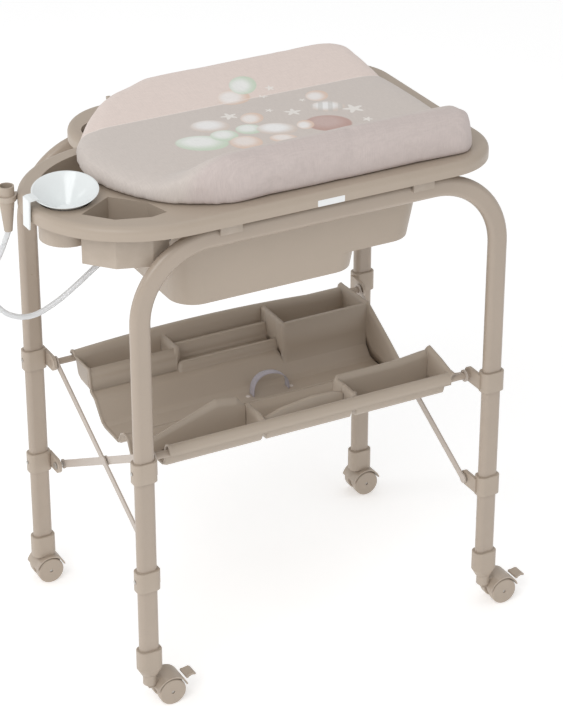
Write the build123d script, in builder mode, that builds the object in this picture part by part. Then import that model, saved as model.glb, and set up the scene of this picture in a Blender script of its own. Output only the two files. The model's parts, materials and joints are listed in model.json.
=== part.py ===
"""Folding changing table: two U-shaped tube frames on casters carry a bath tub with a padded mat,
a folding two-part tray hangs between them, and scissor bars tie the frames together."""
import math
import os

from build123d import *

# ---------------------------------------------------------------- driving dimensions (mm)
LEG_SPAN = 680          # left to right, between leg centres
FRAME_GAP = 460         # near to far, between the two frame planes
MID_X = 31.3             # middle of the frames, from the middle of the whole footprint
MID_Y = 0.25
FOLD_TRAVEL = 270       # how far the near frame slides towards the far one

TUBE_W, TUBE_T, TUBE_WALL = 36, 20, 1.5     # flat-oval leg tube
TUBE_BOTTOM = 82
TOP_RUN_Z = 866                              # centre line of the top run
BEND_R = 130

COLLAR_W, COLLAR_D, COLLAR_H = 44, 28, 38
UPPER_Z, LOWER_Z, FOOT_Z = 467, 255, 95      # collar and near foot-cap middles
FAR_FOOT_TOP = 96                            # the far feet's caps are shorter
SLIDE_GAP = 0.4                              # sliding collar to tube, all round
LUG_REACH = 35                               # from the tube's plane to the pivot
LUG_T, LUG_R = 6, 14
LUG_X = 315                                  # inner face of a lug, from the middle

ROD_R = 6
BAR_W, BAR_T = 14, 3
BAR_EYE_R = 11
NEAR_BAR_X, FAR_BAR_X = 309.5, 304.5         # inner faces of the two bar layers
RIVET_R = 4
FIT = 0.06                                   # running clearance, radial
OPEN_FIT = 0.6                               # clearance at a pivot that the linkage leaves open

WHEEL_R, WHEEL_W, WHEEL_GAP = 25, 16, 7      # each disc; gap is half the space between discs
SWIVEL_TRAIL = 34                            # near caster: stem to axle
FIXED_TRAIL = 5
AXLE_R, STEM_R = 3, 5
HOOD_R, HOOD_T = 30, 2.6

RIM_Z, RIM_TOP, SKIN = 893, 916, 3           # tub rim and its wall thickness
TUB_HALF_W, TUB_LEFT, TUB_RIGHT, TUB_CORNER, RIM_ROUND = 262, -280, 345, 110, 11
END_AT, END_A, END_B = (-255, -75), 210, 187           # middle and half axes of the tub's accessory end
BASIN_HALF_W, BASIN_CORNER, DRAFT = 196, 46, 0.13     # draft: how far a wall leans in per mm of depth
DEEP_LEFT, DEEP_RIGHT, DEEP_Z = -264, 128, 716
STEP_LEFT, STEP_RIGHT, STEP_Z = -60, 232, 752          # the shallower right part

BOARD_Z, BOARD_T = 917, 8
BOARD_HALF_W, BOARD_RIGHT, BOARD_CORNER = 240, 302, 60
BOARD_END_X, BOARD_END_A = -140, 203
HINGE_Y, HINGE_Z, HINGE_X, HINGE_PIN_R = 254, 922, (-150, 150), 2.5

TRAY_HALF_L, TRAY_SKIN, TRAY_SPLIT = 280, 3, -20
TRAY_FLOOR_Z = 386
CUP_AT, CUP_R, CUP_FLOOR_Z = (-400, -88), 43, 852
POCKET_FLOOR_Z = 830
CONE_AT, CONE_LOW_Z, CONE_TOP_Z = (-470, -10), 845, 925
HOSE_D = 9.5
HOSE_ROUTE = [
    (-286, -52, 792), (-325, -54, 776), (-366, -54, 746), (-408, -50, 716), (-452, -44, 695),
    (-492, -36, 706), (-515, -28, 738), (-513, -20, 778), (-484, -12, 810), (-470, -10, 845),
]

SIDES = {"left": -1, "right": 1}
ROWS = {"near": -1, "far": 1}
half_gap = FRAME_GAP / 2
pivot_y = half_gap - LUG_REACH

os.makedirs("parts", exist_ok=True)


def save(piece, name):
    """Names a finished piece, moves it from the frames' middle to the footprint's, and writes it."""
    placed = piece.part.moved(Location((MID_X, MID_Y, 0)))
    placed.label = name
    export_step(placed, f"parts/{name}.step")


def oval(width, depth, mode=Mode.ADD):
    """A flat-oval outline, wide along X."""
    SlotOverall(width, depth, mode=mode)


# ---------------------------------------------------------------- frames
for row, sy in ROWS.items():
    y = sy * half_gap
    x = LEG_SPAN / 2
    with BuildPart() as frame_tube:
        with BuildLine() as run:
            FilletPolyline(
                (-x, y, TUBE_BOTTOM), (-x, y, TOP_RUN_Z), (x, y, TOP_RUN_Z), (x, y, TUBE_BOTTOM),
                radius=BEND_R,
            )
        with BuildSketch(Plane(origin=(-x, y, TUBE_BOTTOM), x_dir=(1, 0, 0), z_dir=(0, 0, 1))):
            oval(TUBE_W, TUBE_T)
            oval(TUBE_W - 2 * TUBE_WALL, TUBE_T - 2 * TUBE_WALL, mode=Mode.SUBTRACT)
        sweep(path=run.line)
    save(frame_tube, f"{row}_frame_tube")


def collar(x, y, z, gap, hole_r, sx, sy):
    """A collar round a leg with a lug on its inner side; the lug's hole faces along X."""
    base = z - COLLAR_H / 2
    lug_mid_x = sx * (LUG_X + LUG_T / 2)
    pivot = y - sy * LUG_REACH
    with BuildPart() as piece:
        with BuildSketch(Plane.XY.offset(base)):
            with Locations((x, y)):
                RectangleRounded(COLLAR_W, COLLAR_D, 11)
        extrude(amount=COLLAR_H)
        fillet(piece.faces().sort_by(Axis.Z)[-1].edges(), 1.5)
        with BuildSketch(Plane(origin=(sx * LUG_X, pivot, z), x_dir=(0, 1, 0), z_dir=(1, 0, 0))):
            Circle(LUG_R)
            with Locations((sy * LUG_REACH / 2, 0)):
                Rectangle(LUG_REACH, 2 * LUG_R)
        extrude(amount=sx * LUG_T)
        with BuildSketch(Plane.XY.offset(base)):
            with Locations((x, y)):
                oval(TUBE_W + 2 * gap, TUBE_T + 2 * gap)
        extrude(amount=COLLAR_H, mode=Mode.SUBTRACT)
        with Locations(Location((lug_mid_x, pivot, z), (0, 90, 0))):
            Cylinder(hole_r, 2 * LUG_T, mode=Mode.SUBTRACT)
    return piece


for row, sy in ROWS.items():
    for side, sx in SIDES.items():
        x, y = sx * LEG_SPAN / 2, sy * half_gap
        save(collar(x, y, UPPER_Z, SLIDE_GAP, ROD_R, sx, sy), f"{row}_upper_collar_{side}")
        save(collar(x, y, LOWER_Z, 0, RIVET_R + FIT, sx, sy), f"{row}_lower_collar_{side}")

for row, sy in ROWS.items():
    with BuildPart() as rod:
        with Locations(Location((0, sy * pivot_y, UPPER_Z), (0, 90, 0))):
            Cylinder(ROD_R, 2 * (LUG_X + LUG_T))
        chamfer(rod.edges().filter_by(GeomType.CIRCLE), 0.8)
    save(rod, f"{row}_tray_rod")

for row, sy in ROWS.items():
    for level, z in {"upper": UPPER_Z, "lower": LOWER_Z}.items():
        with BuildPart() as screws:
            for sx in SIDES.values():
                head_x = sx * (LEG_SPAN / 2 + COLLAR_W / 2)
                with Locations(Location((head_x + sx, sy * half_gap, z), (0, 90, 0))):
                    Cylinder(3.4, 2)
            chamfer(screws.edges().filter_by(GeomType.CIRCLE), 0.5)
        save(screws, f"{row}_{level}_collar_screws")

# ---------------------------------------------------------------- scissor bars
bar_rise = UPPER_Z - LOWER_Z
bar_run = 2 * pivot_y
bar_length = math.hypot(bar_rise, bar_run)
bar_angle = math.degrees(math.atan2(bar_rise, bar_run))
for row, sy in ROWS.items():
    inner = NEAR_BAR_X if row == "near" else FAR_BAR_X
    for side, sx in SIDES.items():
        low = Vector(sx * inner, sy * pivot_y, LOWER_Z)
        toward = Vector(0, -sy * bar_run, bar_rise)
        with BuildPart() as bar:
            with BuildSketch(Plane(origin=low, x_dir=toward, z_dir=(1, 0, 0))):
                Circle(BAR_EYE_R - 2)
                with Locations((bar_length / 2, 0)):
                    Rectangle(bar_length, BAR_W)
                    Circle(RIVET_R + 5)
                with Locations((bar_length, 0)):
                    Circle(BAR_EYE_R)
                    Circle(ROD_R + OPEN_FIT, mode=Mode.SUBTRACT)
                if row == "far":
                    with Locations((bar_length / 2, 0)):
                        Circle(RIVET_R - 1 + FIT, mode=Mode.SUBTRACT)
            extrude(amount=sx * BAR_T)
        save(bar, f"{row}_bar_{side}")

        pin_in, pin_out = sx * (inner + BAR_T), sx * (LUG_X + LUG_T + 1)
        with BuildPart() as rivet:
            with BuildSketch(Plane(origin=(pin_in, low.Y, LOWER_Z), x_dir=(0, 1, 0), z_dir=(1, 0, 0))):
                Circle(RIVET_R)
            extrude(amount=pin_out - pin_in)
            with BuildSketch(Plane(origin=(pin_out, low.Y, LOWER_Z), x_dir=(0, 1, 0), z_dir=(1, 0, 0))):
                Circle(RIVET_R + 2.5)
            extrude(amount=sx * 2)
            if row == "near":
                mid = low + toward * 0.5
                with BuildSketch(Plane(origin=(sx * inner, mid.Y, mid.Z), x_dir=(0, 1, 0), z_dir=(1, 0, 0))):
                    Circle(RIVET_R - 1)
                extrude(amount=-sx * (NEAR_BAR_X - FAR_BAR_X + 1))
        save(rivet, f"{row}_bar_rivets_{side}")

# ---------------------------------------------------------------- casters and feet


def wheel_pair(x, y):
    """Two smooth discs with rounded rims, either side of the fork's web."""
    with BuildPart() as wheels:
        for s in (-1, 1):
            with BuildSketch(Plane(origin=(x, y + s * WHEEL_GAP, WHEEL_R), x_dir=(1, 0, 0), z_dir=(0, s, 0))):
                Circle(WHEEL_R)
                Circle(AXLE_R, mode=Mode.SUBTRACT)
            extrude(amount=WHEEL_W)
        rims = wheels.edges().filter_by(GeomType.CIRCLE).filter_by(lambda e: e.radius > AXLE_R + 1)
        fillet(rims, 3)
    return wheels


def fork(x_axle, y, neck_x, neck_top, neck_r, stem_length=0, cap_top=0):
    """The web between the two discs, the hood over them and the neck up to the leg.
    A swivel fork has a stem above its neck; a fixed one grows into a cap round the leg instead."""
    across = Plane(origin=(x_axle, y, WHEEL_R), x_dir=(1, 0, 0), z_dir=(0, -1, 0))
    skirt = 8
    neck_low = WHEEL_R + 18
    with BuildPart() as piece:
        with BuildSketch(across):
            Circle(HOOD_R)
            with Locations((0, skirt - HOOD_R)):
                Rectangle(3 * HOOD_R, 2 * HOOD_R, mode=Mode.SUBTRACT)
        extrude(amount=WHEEL_GAP + WHEEL_W, both=True)
        with BuildSketch(Plane.XY.offset(neck_low)):
            with Locations((neck_x, y)):
                Circle(neck_r)
        extrude(amount=neck_top - neck_low)
        with Locations(Location((x_axle, y, WHEEL_R), (90, 0, 0))):
            Cylinder(HOOD_R - HOOD_T, 4 * WHEEL_W, mode=Mode.SUBTRACT)
        with BuildSketch(across):
            Circle(HOOD_R - 0.5)
            with Locations((0, skirt - HOOD_R)):
                Rectangle(3 * HOOD_R, 2 * HOOD_R, mode=Mode.SUBTRACT)
            Circle(WHEEL_R - 4)
            with Locations(((neck_x - x_axle) / 2, neck_low - WHEEL_R)):
                Rectangle(abs(neck_x - x_axle) + 8, 16)
            Circle(AXLE_R + FIT, mode=Mode.SUBTRACT)
        extrude(amount=WHEEL_GAP - 1.5, both=True)
        if stem_length:
            with BuildSketch(Plane.XY.offset(neck_top)):
                with Locations((neck_x, y)):
                    Circle(STEM_R)
            extrude(amount=stem_length)
        if cap_top:
            cap_low = WHEEL_R + HOOD_R - 1
            with BuildSketch(Plane.XY.offset(cap_low)):
                with Locations((neck_x, y)):
                    RectangleRounded(COLLAR_W, COLLAR_D + 2, 12)
            extrude(amount=cap_top - cap_low)
            fillet(piece.faces().sort_by(Axis.Z)[-1].edges(), 1.5)
            with BuildSketch(Plane.XY.offset(TUBE_BOTTOM)):
                with Locations((neck_x, y)):
                    oval(TUBE_W, TUBE_T)
            extrude(amount=COLLAR_H, mode=Mode.SUBTRACT)
    return piece


def axle(x, y):
    """A steel pin through both discs and the web."""
    with BuildPart() as piece:
        with Locations(Location((x, y, WHEEL_R), (90, 0, 0))):
            Cylinder(AXLE_R, 2 * (WHEEL_GAP + WHEEL_W) - 4)
    return piece


cap_low = FOOT_Z - COLLAR_H / 2
for side, sx in SIDES.items():
    leg_x = sx * LEG_SPAN / 2
    near_y, far_y = -half_gap, half_gap

    # near foot: a cap on the leg with a socket for the caster's stem
    with BuildPart() as foot_cap:
        with BuildSketch(Plane.XY.offset(cap_low)):
            with Locations((leg_x, near_y)):
                RectangleRounded(COLLAR_W, COLLAR_D + 2, 12)
        extrude(amount=COLLAR_H)
        fillet(foot_cap.faces().sort_by(Axis.Z)[-1].edges(), 1.5)
        with BuildSketch(Plane.XY.offset(cap_low)):
            with Locations((leg_x, near_y)):
                RectangleRounded(COLLAR_W, COLLAR_D + 2, 12)
        with BuildSketch(Plane.XY.offset(cap_low - 13)):
            with Locations((leg_x, near_y)):
                RectangleRounded(30, 24, 11)
        loft()
        with BuildSketch(Plane.XY.offset(TUBE_BOTTOM)):
            with Locations((leg_x, near_y)):
                oval(TUBE_W, TUBE_T)
        extrude(amount=COLLAR_H, mode=Mode.SUBTRACT)
        with Locations((leg_x, near_y, cap_low)):
            Cylinder(STEM_R + FIT, 2 * COLLAR_H, mode=Mode.SUBTRACT)
    save(foot_cap, f"near_foot_cap_{side}")

    caster_x = leg_x + SWIVEL_TRAIL
    caster = fork(caster_x, near_y, leg_x, cap_low - 13.5, 12, stem_length=30)
    save(caster, f"near_caster_fork_{side}")
    save(wheel_pair(caster_x, near_y), f"near_wheels_{side}")
    save(axle(caster_x, near_y), f"near_axle_{side}")

    # brake pedal: a curved tab behind the hood, on a small pivot boss
    pedal_x, pedal_z = caster_x + HOOD_R + 2.5, WHEEL_R + 16
    with BuildPart() as pedal:
        with Locations(Location((pedal_x, near_y, pedal_z), (90, 0, 0))):
            Cylinder(3, 26)
        with BuildSketch(Plane(origin=(pedal_x, near_y, pedal_z), x_dir=(1, 0, 0), z_dir=(0, -1, 0))):
            with BuildLine():
                Polyline((-2, 2.6), (12, 5), (17, 2), (16, -1), (10, 0.5), (0, -2.6), close=True)
            make_face()
        extrude(amount=12, both=True)
        fillet(pedal.edges().filter_by(Axis.Y).sort_by(Axis.X)[-2:], 1)
    save(pedal, f"near_brake_pedal_{side}")

    # far foot: the cap and the wheel hood are one moulding
    foot_x = leg_x + FIXED_TRAIL
    far_foot = fork(foot_x, far_y, leg_x, WHEEL_R + HOOD_R + 3, 14, cap_top=FAR_FOOT_TOP)
    save(far_foot, f"far_foot_{side}")
    save(wheel_pair(foot_x, far_y), f"far_wheels_{side}")
    save(axle(foot_x, far_y), f"far_axle_{side}")

# ---------------------------------------------------------------- tray
sleeve_r = ROD_R + 0.4 + TRAY_SKIN
bin_z, peak_z, rail_z = 430, 502, 482
for row, sy in ROWS.items():
    split = TRAY_SPLIT - 0.5 if row == "near" else TRAY_SPLIT + 0.5
    outer = sy * (pivot_y + sleeve_r)
    inner_wall = sy * 105
    valley = sy * 62
    hump_foot = TRAY_SPLIT + sy * 24
    # one moulded skin: outer wall, bin floor, inner bin wall, valley floor and the raised centre lip
    skin_line = [
        (outer, UPPER_Z + 4), (outer - sy * 5, bin_z + 6), (outer - sy * 14, bin_z),
        (inner_wall + sy * 6, bin_z - 4), (valley + sy * 12, TRAY_FLOOR_Z + 8), (valley, TRAY_FLOOR_Z),
        (hump_foot, TRAY_FLOOR_Z), (TRAY_SPLIT + sy * 12, TRAY_FLOOR_Z + 24), (split, TRAY_FLOOR_Z + 27),
    ]
    with BuildPart() as tray:
        with BuildSketch(Plane(origin=(-TRAY_HALF_L, 0, 0), x_dir=(0, 1, 0), z_dir=(1, 0, 0))) as skin:
            with BuildLine():
                top = Polyline(*skin_line)
                under = Polyline(*[(p[0], p[1] - TRAY_SKIN) for p in skin_line])
                Line(top @ 0, under @ 0)
                Line(top @ 1, under @ 1)
            make_face()
        extrude(amount=2 * TRAY_HALF_L)
        # upright dividers and end lips across the tray
        walls = {
            "near": [(-280, rail_z), (-92, peak_z), (60, peak_z - 8), (276, peak_z)],
            "far": [(-280, rail_z), (-95, rail_z), (70, rail_z), (276, rail_z)],
        }[row]
        for wall_x, wall_top in walls:
            with BuildSketch(Plane(origin=(wall_x, 0, 0), x_dir=(0, 1, 0), z_dir=(1, 0, 0))):
                with BuildLine():
                    Polyline(
                        (outer, wall_top - 8), (outer - sy * 20, wall_top), (inner_wall + sy * 12, wall_top - 14),
                        (inner_wall + sy * 6, bin_z - 6), (outer - sy * 14, bin_z - 2), (outer - sy * 4, bin_z + 5),
                        close=True,
                    )
                make_face()
            extrude(amount=TRAY_SKIN + 1)
        # inner wall of the bins, along X
        with BuildSketch(Plane.XY.offset(bin_z - 6)):
            for a, b in ((-280, -92), (60, 280)):
                with Locations(((a + b) / 2, inner_wall + sy * 7.5)):
                    Rectangle(b - a, TRAY_SKIN)
        extrude(amount=rail_z - bin_z)
        # sleeve that turns on the rod
        with Locations(Location((0, sy * pivot_y, UPPER_Z), (0, 90, 0))):
            Cylinder(sleeve_r, 2 * TRAY_HALF_L)
            Cylinder(ROD_R + 0.4, 3 * TRAY_HALF_L, mode=Mode.SUBTRACT)
    save(tray, f"{row}_tray_half")

# strap with its two knobs, on the far half's floor
STRAP_X, STRAP_Y, STRAP_SPAN, STRAP_W, STRAP_RISE = 42, 45, 76, 18, 44
with BuildPart() as strap:
    with BuildSketch(Plane(origin=(STRAP_X, STRAP_Y + STRAP_W / 2, TRAY_FLOOR_Z), x_dir=(1, 0, 0), z_dir=(0, -1, 0))):
        Ellipse(STRAP_SPAN / 2, STRAP_RISE)
        Ellipse(STRAP_SPAN / 2 - 2, STRAP_RISE - 2, mode=Mode.SUBTRACT)
        with Locations((0, -STRAP_RISE + 2)):
            Rectangle(2 * STRAP_SPAN, 2 * STRAP_RISE, mode=Mode.SUBTRACT)
    extrude(amount=STRAP_W)
save(strap, "tray_strap")
with BuildPart() as knobs:
    for s in (-1, 1):
        with Locations((STRAP_X + s * (STRAP_SPAN / 2 + 6), STRAP_Y, TRAY_FLOOR_Z + 2)):
            Cylinder(4.5, 4)
    fillet(knobs.faces().sort_by(Axis.Z)[-2:].edges(), 1.5)
save(knobs, "strap_knobs")

# ---------------------------------------------------------------- tub


def tub_plan(z, inset):
    """The tub's plan at a height: a rounded rectangle with an oval accessory end that leans to the near side."""
    right = TUB_RIGHT - inset
    left = TUB_LEFT + inset
    half = TUB_HALF_W - inset
    near_edge = right - TUB_CORNER - END_AT[0]
    with BuildSketch(Plane.XY.offset(z)) as plan:
        with Locations(END_AT):
            Ellipse(END_A - inset, END_B - inset)
        with Locations(((left + right) / 2, 0)):
            RectangleRounded(right - left, 2 * half, TUB_CORNER - inset)
        with Locations((END_AT[0] + near_edge / 2, -half / 2)):
            Rectangle(near_edge, half)
    return plan.sketch


def well(left, right, floor_z, inset, mode):
    """A tapered rectangular well with rounded corners; inset gives the inside of its skin."""
    top_z = RIM_TOP - SKIN
    if inset:
        floor_z += SKIN
        top_z = RIM_TOP + 1
    sections = []
    for z in (top_z, floor_z):
        lean = DRAFT * (RIM_TOP - z) + inset
        with BuildSketch(Plane.XY.offset(z)) as section:
            with Locations(((left + right) / 2, 0)):
                RectangleRounded(right - left - 2 * lean, 2 * (BASIN_HALF_W - lean), BASIN_CORNER - inset)
        sections.append(section.sketch)
    loft(sections, ruled=True, mode=mode)


def far_pocket(inset, low, high, mode):
    """The open shelf behind the accessory end, following the rim's curve."""
    with BuildSketch(Plane.XY.offset(low)) as plan:
        with Locations(END_AT):
            Ellipse(END_A - 30 - inset, END_B - 30 - inset)
        with Locations((-360, 102)):
            Rectangle(150 - 2 * inset, 250 - 2 * inset, mode=Mode.INTERSECT)
    extrude(plan.sketch, amount=high - low, mode=mode)


POCKET_PLAN = [(-400, -152), (-362, -196), (-306, -214), (-276, -208), (-288, -160), (-335, -110)]
DRAIN_AT, DRAIN_R = (-150, 0), 18
with BuildPart() as tub:
    extrude(tub_plan(RIM_Z, 0), amount=RIM_TOP - RIM_Z)
    fillet(tub.faces().sort_by(Axis.Z)[-1].edges(), RIM_ROUND)
    extrude(tub_plan(RIM_Z, SKIN), amount=RIM_TOP - RIM_ROUND - RIM_Z, mode=Mode.SUBTRACT)
    extrude(tub_plan(RIM_TOP - RIM_ROUND, RIM_ROUND), amount=RIM_ROUND - SKIN, mode=Mode.SUBTRACT)
    plate_z = RIM_TOP - SKIN
    well(DEEP_LEFT, DEEP_RIGHT, DEEP_Z, 0, Mode.ADD)
    well(STEP_LEFT, STEP_RIGHT, STEP_Z, 0, Mode.ADD)
    far_pocket(0, RIM_Z - 17, plate_z, Mode.ADD)
    well(DEEP_LEFT, DEEP_RIGHT, DEEP_Z, SKIN, Mode.SUBTRACT)
    well(STEP_LEFT, STEP_RIGHT, STEP_Z, SKIN, Mode.SUBTRACT)
    far_pocket(SKIN, RIM_Z - 14, RIM_TOP + 1, Mode.SUBTRACT)
    with BuildSketch(Plane.XY.offset(plate_z - 1)):
        with Locations(CUP_AT):
            Circle(CUP_R)
        with BuildLine():
            Polyline(*POCKET_PLAN, close=True)
        make_face()
    extrude(amount=SKIN + 2, mode=Mode.SUBTRACT)
    with Locations((*DRAIN_AT, DEEP_Z)):
        Cylinder(DRAIN_R, 20, mode=Mode.SUBTRACT)
save(tub, "tub_shell")

with BuildPart() as organiser:
    with BuildSketch(Plane.XY.offset(CUP_FLOOR_Z)):
        with Locations(CUP_AT):
            Circle(CUP_R + 2.5)
    extrude(amount=plate_z - CUP_FLOOR_Z)
    with BuildSketch(Plane.XY.offset(POCKET_FLOOR_Z)):
        with BuildLine():
            Polyline(*POCKET_PLAN, close=True)
        make_face()
        offset(amount=2.5)
    extrude(amount=plate_z - POCKET_FLOOR_Z)
    with BuildSketch(Plane.XY.offset(plate_z - 3)):
        with BuildLine():
            Polyline((-385, -118), (-365, -122), (-360, -134), (-380, -142), close=True)
        make_face()
    extrude(amount=3)
    with BuildSketch(Plane.XY.offset(CUP_FLOOR_Z + 2.5)):
        with Locations(CUP_AT):
            Circle(CUP_R)
    extrude(amount=plate_z - CUP_FLOOR_Z, mode=Mode.SUBTRACT)
    with BuildSketch(Plane.XY.offset(POCKET_FLOOR_Z + 2.5)):
        with BuildLine():
            Polyline(*POCKET_PLAN, close=True)
        make_face()
    extrude(amount=plate_z - POCKET_FLOOR_Z, mode=Mode.SUBTRACT)
    add(tub.part, mode=Mode.SUBTRACT)
save(organiser, "organiser_pockets")

for row, sy in ROWS.items():
    with BuildPart() as saddles:
        for sx in (-1, 1):
            with Locations((sx * 180, sy * half_gap, (RIM_Z - 21 + plate_z) / 2)):
                Box(40, 32, plate_z - (RIM_Z - 21))
                with Locations((0, 0, -17.5)):
                    Box(42, TUBE_T + 3, 35, mode=Mode.SUBTRACT)
    save(saddles, f"{row}_rim_saddles")

with BuildPart() as plug:
    with Locations((*DRAIN_AT, DEEP_Z + SKIN / 2)):
        Cylinder(DRAIN_R - 0.6, SKIN)
    with Locations((*DRAIN_AT, DEEP_Z + SKIN + 1.5)):
        Cylinder(DRAIN_R + 4, 2)
    with Locations((*DRAIN_AT, DEEP_Z + SKIN + 6)):
        Cylinder(5, 10)
    with Locations((*DRAIN_AT, DEEP_Z + SKIN / 2 + 1)):
        Cylinder(DRAIN_R - 0.6, SKIN + 1)
    fillet(plug.faces().sort_by(Axis.Z)[-1].edges(), 2)
save(plug, "drain_plug")

# nozzle on the basin's end wall, and a dark valve beside it
NOZZLE_IN_X = -246
with BuildPart() as nozzle:
    tip = Vector(*HOSE_ROUTE[0])
    heading = (tip - Vector(*HOSE_ROUTE[1])).normalized()
    root = tip + heading * ((NOZZLE_IN_X - tip.X) / heading.X)
    with BuildSketch(Plane(origin=tip, z_dir=heading)):
        Circle(7)
    extrude(amount=(root - tip).length + 3)
save(nozzle, "drain_nozzle")
with BuildPart() as valve:
    with Locations(Location((-266, -176, 862), (0, 90, 0))):
        Cylinder(12, 14)
    with Locations((-269, -176, 862)):
        Box(8, 30, 14)
    fillet(valve.edges().filter_by(Axis.X), 3)
save(valve, "overflow_valve")

# rinse bowl with a hook handle, tipped towards the near edge
BOWL_R, BOWL_WAIST_R, BOWL_FOOT_R, BOWL_DEEP, BOWL_SKIN = 55, 36, 16, 42, 2.5
BOWL_LIP_Z = 934
HOOK_X, HOOK_Y, HOOK_W, HOOK_LOW_Z = -467.5, -88, 24, 882
bowl_plane = Plane(origin=(*CUP_AT, BOWL_LIP_Z), x_dir=(1, 0, 0), z_dir=(-0.08, -0.16, 1))
with BuildPart() as bowl:
    with BuildSketch(Plane(origin=bowl_plane.origin, x_dir=bowl_plane.x_dir, z_dir=-bowl_plane.y_dir)):
        with BuildLine():
            ThreePointArc((BOWL_R, 0), (BOWL_WAIST_R, -0.45 * BOWL_DEEP), (BOWL_FOOT_R, -BOWL_DEEP))
            Polyline((BOWL_FOOT_R, -BOWL_DEEP), (0, -BOWL_DEEP), (0, BOWL_SKIN - BOWL_DEEP),
                     (BOWL_FOOT_R, BOWL_SKIN - BOWL_DEEP))
            ThreePointArc((BOWL_FOOT_R, BOWL_SKIN - BOWL_DEEP),
                          (BOWL_WAIST_R - BOWL_SKIN, -0.43 * BOWL_DEEP), (BOWL_R - BOWL_SKIN, 0))
            Line((BOWL_R - BOWL_SKIN, 0), (BOWL_R, 0))
        make_face()
    revolve(axis=Axis(bowl_plane.origin, bowl_plane.z_dir))
    with BuildSketch(Plane(origin=(0, HOOK_Y + HOOK_W / 2, 0), x_dir=(1, 0, 0), z_dir=(0, -1, 0))):
        with BuildLine():
            Polyline(
                (CUP_AT[0] - BOWL_R + 3, BOWL_LIP_Z - 3), (HOOK_X + 2, BOWL_LIP_Z - 4), (HOOK_X, HOOK_LOW_Z),
                (HOOK_X - BOWL_SKIN, HOOK_LOW_Z), (HOOK_X - 1, BOWL_LIP_Z - 2), (HOOK_X + 6, BOWL_LIP_Z),
                (CUP_AT[0] - BOWL_R + 3, BOWL_LIP_Z), close=True,
            )
        make_face()
    extrude(amount=HOOK_W)
save(bowl, "rinse_bowl")

# cone fitting that parks the hose end, and its clip on the rim
with BuildPart() as cone:
    with BuildSketch(Plane.XY.offset(CONE_LOW_Z)):
        with Locations(CONE_AT):
            Circle(7)
    with BuildSketch(Plane.XY.offset(CONE_TOP_Z - 24)):
        with Locations(CONE_AT):
            Circle(13)
    loft()
    with BuildSketch(Plane.XY.offset(CONE_TOP_Z - 24)):
        with Locations(CONE_AT):
            Circle(13)
    extrude(amount=24)
    with Locations((*CONE_AT, CONE_TOP_Z)):
        Cylinder(10.5, 44, mode=Mode.SUBTRACT)
save(cone, "hose_cone")
with BuildPart() as clip:
    with BuildSketch(Plane.XY.offset(RIM_TOP - 16)):
        with Locations(CONE_AT):
            Circle(16)
        with Locations((-452, -10)):
            Rectangle(12, 12)
        with Locations(CONE_AT):
            Circle(13, mode=Mode.SUBTRACT)
    extrude(amount=9)
    extrude(tub_plan(RIM_TOP - 16, 0), amount=9, mode=Mode.SUBTRACT)
save(clip, "hose_clip")

# ---------------------------------------------------------------- drain hose
route = [Vector(*p) for p in HOSE_ROUTE]
runs = [(b - a).length for a, b in zip(route, route[1:])]
radii = []
for i in range(1, len(route) - 1):
    turn = math.radians((route[i] - route[i - 1]).get_angle(route[i + 1] - route[i]))
    radii.append(0.45 * min(runs[i - 1], runs[i]) / math.tan(turn / 2))
print("hose radii", [round(r, 1) for r in radii])
with BuildPart() as hose:
    with BuildLine() as hose_line:
        FilletPolyline(*HOSE_ROUTE, radius=radii)
    with BuildSketch(Plane(origin=route[0], z_dir=(route[1] - route[0]).normalized())):
        Circle(HOSE_D / 2)
    sweep(path=hose_line.line)
hose_length = sum(edge.length for edge in hose_line.edges())
print("hose length", round(hose_length, 1), "volume ratio",
      round(hose.part.volume / (hose_length * math.pi * HOSE_D ** 2 / 4), 4))
save(hose, "drain_hose")

# ---------------------------------------------------------------- mat


def board_outline(inset):
    """The mat's plan: straight sides, rounded right corners and a half-oval left end."""
    right = BOARD_RIGHT - inset
    half = BOARD_HALF_W - inset
    with Locations((BOARD_END_X, 0)):
        Ellipse(BOARD_END_A - inset, half)
    with Locations(((BOARD_END_X + right - BOARD_CORNER) / 2, 0)):
        Rectangle(right - BOARD_CORNER - BOARD_END_X, 2 * half)
    with Locations((right - 2 * BOARD_CORNER, 0)):
        RectangleRounded(4 * BOARD_CORNER, 2 * half, BOARD_CORNER)


with BuildPart() as board:
    with BuildSketch(Plane.XY.offset(BOARD_Z)):
        board_outline(0)
        with Locations(*[(x, HINGE_Y - 10) for x in HINGE_X]):
            Rectangle(20, 20)
    extrude(amount=BOARD_T)
    with Locations(*[Location((x, HINGE_Y, HINGE_Z), (0, 90, 0)) for x in HINGE_X]):
        Cylinder(5, 20)
        Cylinder(HINGE_PIN_R, 30, mode=Mode.SUBTRACT)
save(board, "mat_board")

with BuildPart() as pins:
    with Locations(*[Location((x, HINGE_Y, HINGE_Z), (0, 90, 0)) for x in HINGE_X]):
        Cylinder(HINGE_PIN_R, 38)
save(pins, "mat_hinge_pins")

with BuildPart() as ears:
    for x in HINGE_X:
        for s in (-1, 1):
            with BuildSketch(Plane(origin=(x + s * 11, HINGE_Y, HINGE_Z), x_dir=(0, 1, 0), z_dir=(s, 0, 0))):
                Circle(5)
                with Locations((0, -3)):
                    Rectangle(10, 6)
                Circle(HINGE_PIN_R + FIT, mode=Mode.SUBTRACT)
            extrude(amount=7)
save(ears, "mat_hinge_ears")

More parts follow.
